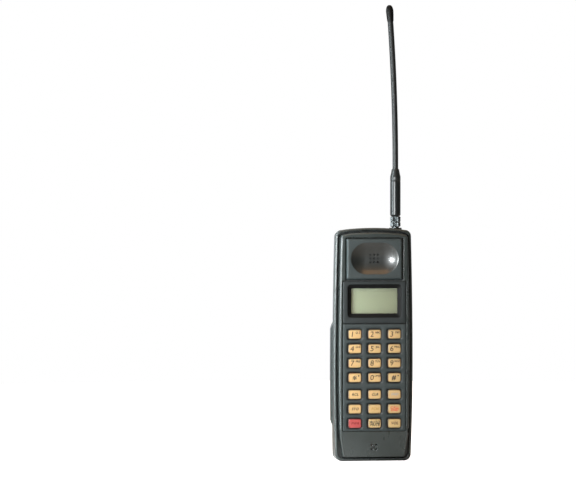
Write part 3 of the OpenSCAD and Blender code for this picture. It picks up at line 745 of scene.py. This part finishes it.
def on_rim(edge, inner):
    """Is this boundary edge on the outer rim, not at a key's window?"""
    for v in edge.verts:
        u, w = v.co.x / MM, v.co.z / MM
        if min(abs(u - inner[0]), abs(u - inner[1]), abs(w - inner[2]), abs(w - inner[3])) > NEAR:
            return False
    return True


def between(values):
    """Middles between neighbouring values."""
    return [(a + b) / 2 for a, b in zip(values, values[1:])]


def add_cell(bm, box, x, z, face):
    """One key's share of the panel's face, with its window and the sloped well round it, the well's lowest
    spans painted black as the shade in the gap round the key.
    """
    w, h = CAP_W + 2 * WELL_GAP, CAP_H + 2 * WELL_GAP
    rings = [cell_ring(*box, w, h, WELL_CORNER, Vector((x, 0, z)), face)]
    for grow, back in WELL_PROFILE:
        corner = WELL_CORNER + grow * 0.9
        rings.append(rounded_ring(w + 2 * grow, h + 2 * grow, corner, face + back, x, z))
    loops = [[bm.verts.new(p) for p in ring] for ring in rings]
    for k, (a, b) in enumerate(zip(loops, loops[1:])):
        for m in range(len(a)):
            n = (m + 1) % len(a)
            f = bm.faces.new((a[m], b[m], b[n], a[n]))
            f.material_index = 1 if k >= len(WELL_PROFILE) - SHADED_WELL_SPANS else 0


def add_border(bm, inner, face, depth):
    """Rounds the face's outer edge over and carries it to the back."""
    border = [e for e in bm.edges if e.is_boundary and on_face(e, face) and on_rim(e, inner)]
    turns = [math.pi / 8, math.pi / 4, 3 * math.pi / 8, math.pi / 2]
    steps = [(PANEL_EDGE * math.sin(a), PANEL_EDGE * (1 - math.cos(a))) for a in turns]
    for out, back in steps + [(PANEL_EDGE, depth)]:
        grown = bmesh.ops.extrude_edge_only(bm, edges=border)["geom"]
        border = [g for g in grown if isinstance(g, bmesh.types.BMEdge)]
        for v in {v for e in border for v in e.verts}:
            u, w = v.co.x / MM, v.co.z / MM
            if u <= inner[0] + NEAR:
                u = inner[0] - out
            if u >= inner[1] - NEAR:
                u = inner[1] + out
            if w <= inner[2] + NEAR:
                w = inner[2] - out
            if w >= inner[3] - NEAR:
                w = inner[3] + out
            v.co = Vector((u, face + back, w)) * MM


def on_face(edge, face):
    """Does this edge touch the panel's face?"""
    return min(v.co.y for v in edge.verts) < (face + 0.01) * MM


def build_keypad_panel():
    _, _, low, high = node_box("keypad_panel")
    face, back = low.y, high.y
    low.x, high.x = low.x + SEAM, high.x - SEAM
    inner = (low.x + PANEL_EDGE, high.x - PANEL_EDGE, low.z + PANEL_EDGE, high.z - PANEL_EDGE)
    mids = [node_box(name)[0] for name in LEGENDS | WORDS]
    xs = sorted({round(m.x, 2) for m in mids})
    zs = sorted({round(m.z, 2) for m in mids})
    x_cuts = [inner[0], *between(xs), inner[1]]
    z_cuts = [inner[2], *between(zs), inner[3]]
    bm = bmesh.new()
    for i, x in enumerate(xs):
        for j, z in enumerate(zs):
            box = (x_cuts[i], x_cuts[i + 1], z_cuts[j], z_cuts[j + 1])
            add_cell(bm, box, x, z, face)
    bmesh.ops.remove_doubles(bm, verts=bm.verts[:], dist=JOIN)
    add_border(bm, inner, face, back - face)
    bmesh.ops.recalc_face_normals(bm, faces=bm.faces[:])
    panel = piece_from("keypad_face", bm, 40)
    # The second material paints black shade deep in each key's well
    wear(panel, PANEL, BLACK)
    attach(panel, "handset")
    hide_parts("keypad_panel")


# ---------- display frame ----------

FRAME_EDGE = 0.5
RECESS_W, RECESS_H = 43.0, 26.2
WINDOW_W, WINDOW_H = 37.0, 20.2
# The recess, near-black as a black border and as painted shade of its depths: (inset, how far behind the
# face, corner radius)
RECESS = [
    (-0.25, 0.0, 2.9),
    (-0.1, 0.04, 2.8),
    (0.0, 0.16, 2.7),
    (0.05, 0.55, 2.6),
    (0.4, 0.75, 2.4),
    (2.5, 1.05, 1.5),
    (2.72, 1.12, 1.3),
]


def build_display_frame():
    mid, size, low, high = node_box("display_bezel")
    face, back = low.y, high.y
    w, h = size.x - 2 * SEAM, size.z - 2 * SEAM
    middle, _, glass, _ = node_box("display_lens")
    rings = [rounded_ring(w, h, 1.2, back, mid.x, mid.z)]
    for out, behind in edge_arc(5):
        inset, y = FRAME_EDGE * (1 - out), face + FRAME_EDGE * behind
        rings.append(rounded_ring(w - 2 * inset, h - 2 * inset, 1.0, y, mid.x, mid.z))
    rings.append(rounded_ring(w - 4, h - 3.2, 1.0, face, mid.x, mid.z))
    outer = len(rings)
    for inset, back_by, r in RECESS:
        width, height = RECESS_W - 2 * inset, RECESS_H - 2 * inset
        rings.append(rounded_ring(width, height, r, face + back_by, middle.x, middle.z))
    last = len(rings)
    for y in (glass.y - 0.05, back):
        rings.append(rounded_ring(WINDOW_W, WINDOW_H, 0.9, y, middle.x, middle.z))
    frame_piece = loft("display_frame", rings, closed=True, marks=((outer, last + 1, 1),), sharp=32)
    # The recess and window walls take the near-black of border and painted shade
    wear(frame_piece, BEZEL, RECESS_BLACK_AND_SHADE)
    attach(frame_piece, "handset")
    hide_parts("display_bezel")


# ---------- earpiece panel ----------

# Sloped edge: (inset, how far behind the face)
EAR_EDGE = [(0.05, 2.45), (0.2, 2.15), (1.0, 0.8), (1.3, 0.34), (1.6, 0.1), (1.9, 0.01), (2.4, 0.0)]
DISH_W, DISH_H, DISH_DEEP = 38.0, 25.0, 3.6
# The dish's soft lip: (how far outside it, how far behind the face)
DISH_LIP = [(0.35, 0.0), (0.2, 0.02), (0.07, 0.07)]
DISH_STEPS = 22
HOLE_R, HOLE_PITCH = 0.8, 3.0
HOLE_STEPS = 20


def build_ear_plate():
    mid, size, low, high = node_box("earpiece_panel")
    face, back = low.y, high.y
    cz = node_box("earpiece_capsule")[0].z
    rings = [rounded_ring(size.x, size.z, 1.2, back, mid.x, mid.z)]
    for inset, y in EAR_EDGE:
        rings.append(rounded_ring(size.x - 2 * inset, size.z - 2 * inset, 1.3, face + y, mid.x, mid.z))
    outer = len(rings)
    half = DISH_H / 2
    ball = (half * half + DISH_DEEP * DISH_DEEP) / (2 * DISH_DEEP)
    for grow, y in DISH_LIP:
        rings.append(rounded_ring(DISH_W + 2 * grow, DISH_H + 2 * grow, half + grow, face + y, mid.x, cz))
    for i in range(1, DISH_STEPS + 1):
        d = max(half * (1 - i / DISH_STEPS), 0.03)
        y = math.sqrt(ball * ball - d * d) - (ball - DISH_DEEP)
        rings.append(rounded_ring(DISH_W - 2 * (half - d), 2 * d, d, face + y, mid.x, cz))
    plate = loft("ear_plate", rings, marks=((outer + 1, len(rings), 1),), cap_first=False, sharp=40)
    wear(plate, PANEL, DISH)
    grid = [(mid.x + HOLE_PITCH * i, cz + HOLE_PITCH * j) for i in (-1, 0, 1) for j in (-1, 0, 1)]
    pierce(plate, grid, HOLE_R, face - 1, back + 2)
    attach(plate, "handset")
    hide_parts("earpiece_panel")


def pierce(piece, places, radius, y0, y1):
    """Cuts round holes through a piece and keeps its smooth shading."""
    bm = bmesh.new()
    turns = [2 * math.pi * i / HOLE_STEPS for i in range(HOLE_STEPS)]
    for x, z in places:
        rings = []
        for y in (y0, y1):
            ring = [Vector((x + radius * math.cos(a), y, z + radius * math.sin(a))) * MM for a in turns]
            rings.append([bm.verts.new(p) for p in ring])
        for i in range(HOLE_STEPS):
            j = (i + 1) % HOLE_STEPS
            bm.faces.new((rings[0][i], rings[0][j], rings[1][j], rings[1][i]))
        bm.faces.new(list(reversed(rings[0])))
        bm.faces.new(rings[1])
    bmesh.ops.recalc_face_normals(bm, faces=bm.faces[:])
    cutter = piece_from("hole_cutter", bm)
    cut = piece.modifiers.new("holes", "BOOLEAN")
    cut.object = cutter
    cut.operation = "DIFFERENCE"
    cut.solver = "EXACT"
    bpy.context.view_layer.update()
    graph = bpy.context.evaluated_depsgraph_get()
    done = bpy.data.meshes.new_from_object(piece.evaluated_get(graph))
    piece.modifiers.remove(cut)
    old = piece.data
    piece.data = done
    piece.data.set_sharp_from_angle(angle=math.radians(40))
    bpy.data.meshes.remove(old)
    bpy.data.objects.remove(cutter)


# ---------- antenna ----------

# Above its foot the antenna leans slowly to the left, along a wide circle
WHIP_FOOT, BEND_R = 234.0, 1700.0
WHIP_R = 2.3
COLLAR_BORE = 2.95
COLLAR_RINGS, COLLAR_TEETH, TOOTH = 144, 24, 0.42
TIP_R = 3.02


def spin(name, profile, centre, count=64, toothed=(), sharp=38, caps=True):
    """Piece turned about an upright axis from (radius, height) pairs. Rings in toothed get teeth."""
    rings = []
    for k, (r, z) in enumerate(profile):
        rings.append(circle_ring(r, z, centre, count, TOOTH, COLLAR_TEETH if k in toothed else 0))
    return loft(name, rings, cap_first=caps, cap_last=caps, sharp=sharp)


def bend_piece(piece, axis_x):
    """Moves what lies above the antenna's foot onto its slow bend to the left."""
    for v in piece.data.vertices:
        z = v.co.z / MM
        if z > WHIP_FOOT:
            a = (z - WHIP_FOOT) / BEND_R
            off = v.co.x / MM - axis_x
            v.co.x = (axis_x - BEND_R * (1 - math.cos(a)) + off * math.cos(a)) * MM
            v.co.z = (WHIP_FOOT + BEND_R * math.sin(a) + off * math.sin(a)) * MM


def finish_piece(piece, body, node):
    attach(piece, body)
    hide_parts(node)


def build_collar(axis):
    """Two knurled rings with a groove between them."""
    _, size, low, high = node_box("antenna_collar")
    r, z0, z1 = size.x / 2, low.z, high.z
    split = z0 + 0.46 * (z1 - z0)
    profile = [(COLLAR_BORE, z0 + 0.1), (r - 0.75, z0), (r - 0.35, z0 + 0.25), (r, z0 + 0.5)]
    profile += [(r, split - 0.45), (r - 0.45, split - 0.2), (r - 0.45, split + 0.2), (r, split + 0.45)]
    profile += [(r, z1 - 0.55)]
    profile += [(r - 0.3, z1 - 0.25), (r - 0.8, z1), (COLLAR_BORE, z1 - 0.1)]
    collar = spin("knurled_collar", profile, axis, COLLAR_RINGS, (3, 4, 7, 8), 30, caps=False)
    wear(collar, NICKEL)
    finish_piece(collar, "antenna_collar", "antenna_collar")


def build_boot(axis):
    """Rubber sleeve with a rounded foot, a shallow groove and a shoulder that narrows to the whip."""
    _, size, low, high = node_box("antenna_boot")
    r, z0, z1 = size.x / 2, low.z, high.z
    shoulder = z1 - 6.1
    profile = [(2.4, z0)]
    for i in range(7):
        a = math.pi / 2 * i / 6
        profile.append((r - 1.1 + 1.1 * math.sin(a), z0 + 0.05 + 1.5 * (1 - math.cos(a))))
    profile += [(r, z0 + 8), (r, shoulder - 4.6), (r - 0.02, shoulder - 4.2), (r - 0.14, shoulder - 4.0)]
    profile += [(r - 0.14, shoulder - 3.7), (r, shoulder - 3.5), (r, shoulder - 0.4)]
    profile += [(r - 0.12, shoulder + 0.3), (r - 0.45, shoulder + 1.6), (r - 1.0, shoulder + 4.3)]
    profile += [(r - 1.15, z1 - 0.5)]
    profile += [(2.6, z1 - 0.08), (2.35, z1)]
    boot = spin("antenna_boot_sleeve", profile, axis, sharp=50)
    bend_piece(boot, axis[0])
    wear(boot, BOOT)
    finish_piece(boot, "antenna", "antenna_boot")


def build_whip(axis):
    z0 = node_box("antenna_whip")[2].z
    top = node_box("antenna_tip")[2].z + 2
    heights = [z0 + (top - z0) * i / 40 for i in range(41)]
    whip = spin("antenna_rod", [(WHIP_R, z) for z in heights], axis, 40, sharp=50)
    bend_piece(whip, axis[0])
    wear(whip, WHIP)
    finish_piece(whip, "antenna", "antenna_whip")


def build_tip(axis):
    """Rubber cap that swells a little towards its round end."""
    _, _, low, high = node_box("antenna_tip")
    z0, z1 = low.z + 0.1, high.z + 0.12
    swell = z0 + 8
    profile = [(2.32, z0), (2.5, z0 + 0.15), (2.58, z0 + 0.5), (2.66, z0 + 1.5), (2.9, z0 + 5)]
    profile += [(TIP_R, swell)]
    for i in range(1, 9):
        a = math.pi / 2 * i / 9
        profile.append((TIP_R * math.cos(a) ** 0.8, swell + (z1 - swell) * math.sin(a)))
    profile += [(0.15, z1 - 0.02)]
    tip = spin("antenna_cap", profile, axis, 40, sharp=50)
    bend_piece(tip, axis[0])
    wear(tip, TIP)
    finish_piece(tip, "antenna", "antenna_tip")


def build_antenna():
    mid = node_box("antenna_collar")[0]
    axis = (mid.x, mid.y)
    build_collar(axis)
    build_boot(axis)
    build_whip(axis)
    build_tip(axis)


# ---------- stage, lights and camera ----------

VIEW_AZ, VIEW_EL = -8.0, 1.5
DISTANCE = 3.0
# Width of the picture at the phone, how far right of its middle the phone stands, the gap that keeps
# the floor clear of the phone's foot, and the point that the camera looks past
FRAME_WIDTH = 0.4608
PHONE_RIGHT = 0.0679
FLOOR_GAP = 0.0001
PHONE_MIDDLE = Vector((0, -0.007, 0.1768))


def build_stage():
    bm = bmesh.new()
    bmesh.ops.create_circle(bm, cap_ends=True, segments=96, radius=1.0)
    floor = piece_from("floor", bm)
    floor.location.z = -FLOOR_GAP
    wear(floor, FLOOR)


def build_world():
    """White for the eye; for light, a studio that is bright on the left and behind, and brown above."""
    world = bpy.data.worlds.new("studio")
    world.use_nodes = True
    bpy.context.scene.world = world
    tree = world.node_tree
    out = tree.nodes["Background"]
    add, link = tree.nodes.new, tree.links.new
    way = add("ShaderNodeTexCoord")
    parts = add("ShaderNodeSeparateXYZ")
    link(way.outputs["Generated"], parts.inputs[0])

    def ramp(axis, low, high, start, end):
        node = add("ShaderNodeMix")
        node.data_type = "RGBA"
        fit = add("ShaderNodeMapRange")
        fit.interpolation_type = "SMOOTHSTEP"
        fit.inputs["From Min"].default_value = low
        fit.inputs["From Max"].default_value = high
        link(parts.outputs[axis], fit.inputs["Value"])
        link(fit.outputs["Result"], node.inputs[0])
        for socket, value in ((node.inputs[6], start), (node.inputs[7], end)):
            if isinstance(value, tuple):
                socket.default_value = (*value, 1)
            else:
                link(value, socket)
        return node.outputs[2]

    side = ramp("X", -0.8, 0.4, (1.1, 1.15, 1.2), (0.15, 0.16, 0.17))
    front = ramp("Y", -0.85, -0.1, (0.07, 0.08, 0.085), side)
    behind = ramp("Y", 0.1, 0.8, front, (0.72, 0.75, 0.78))
    above = ramp("Z", 0.3, 0.7, behind, (0.48, 0.36, 0.24))
    eye = add("ShaderNodeLightPath")
    choose = add("ShaderNodeMix")
    choose.data_type = "RGBA"
    link(eye.outputs["Is Camera Ray"], choose.inputs[0])
    link(above, choose.inputs[6])
    choose.inputs[7].default_value = (1, 1, 1, 1)
    link(choose.outputs[2], out.inputs["Color"])
    out.inputs["Strength"].default_value = 1.0


def lamp(name, place, aim, size, power, tint=(1, 1, 1), diffuse=True, glossy=True, shape="RECTANGLE"):
    """A soft lamp, which can be kept to matt light or to highlights."""
    light = bpy.data.lights.new(name, "AREA")
    light.shape = shape
    light.size, light.size_y = size
    light.energy = power
    light.color = tint
    obj = bpy.data.objects.new(name, light)
    bpy.context.scene.collection.objects.link(obj)
    obj.location = place
    obj.visible_camera = False
    obj.visible_diffuse = diffuse
    obj.visible_glossy = glossy
    obj.rotation_euler = (Vector(aim) - Vector(place)).to_track_quat("-Z", "Y").to_euler()


EARPIECE = Vector((0, -0.018, 0.162))
GLINT_WAY = Vector((-0.475, -0.878, 0.06))
LEFT_EDGE = (-0.028, -0.015, 0.19)
COOL, COLD, WARM = (0.95, 0.99, 1.0), (0.86, 0.97, 1.0), (1.0, 0.55, 0.25)


def build_lights():
    """A round lamp that glints in the dish, strips along the left edges, soft light and a warm ceiling."""
    glint = EARPIECE + GLINT_WAY.normalized() * 0.42
    lamp("key_glint", glint, EARPIECE, (0.155, 0.155), 3.4, COOL, diffuse=False, shape="ELLIPSE")
    lamp("side_strip", (-0.162, -0.055, 0.19), LEFT_EDGE, (0.04, 0.42), 1.5, COLD, diffuse=False)
    lamp("rim_strip", (-0.42, -0.06, 0.15), (0, 0, 0.13), (0.1, 0.4), 0.4, (0.9, 0.98, 1.0), diffuse=False)
    lamp("near_left", (-0.17, -0.12, 0.17), (0, -0.02, 0.12), (0.14, 0.34), 0.9, glossy=False)
    lamp("top_panel", (-0.3, 0.1, 2.0), (0, 0, 0), (1.2, 0.8), 12)
    lamp("warm_ceiling", (0.1, -0.95, 1.3), EARPIECE, (0.9, 0.35), 3.2, WARM)


def build_camera():
    toward = math.radians(-VIEW_AZ)
    ahead = Vector((math.sin(toward), math.cos(toward), 0))
    rise = math.radians(VIEW_EL)
    place = PHONE_MIDDLE - DISTANCE * (ahead * math.cos(rise) - Vector((0, 0, math.sin(rise))))
    off = math.atan2(PHONE_RIGHT, DISTANCE)
    turned = toward - off
    aim_dir = Vector((math.sin(turned) * math.cos(rise), math.cos(turned) * math.cos(rise), -math.sin(rise)))
    data = bpy.data.cameras.new("camera")
    data.sensor_width = 36
    data.lens = 36 * DISTANCE * math.cos(off) / FRAME_WIDTH
    camera = bpy.data.objects.new("camera", data)
    bpy.context.scene.collection.objects.link(camera)
    camera.location = place
    camera.rotation_euler = aim_dir.to_track_quat("-Z", "Y").to_euler()
    bpy.context.scene.camera = camera


bpy.context.scene.view_settings.view_transform = "Standard"
build_camera()
build_world()
build_lights()
build_stage()
dress_cad()
build_chin_edges()
build_keys()
build_keypad_panel()
build_display_frame()
build_ear_plate()
build_antenna()
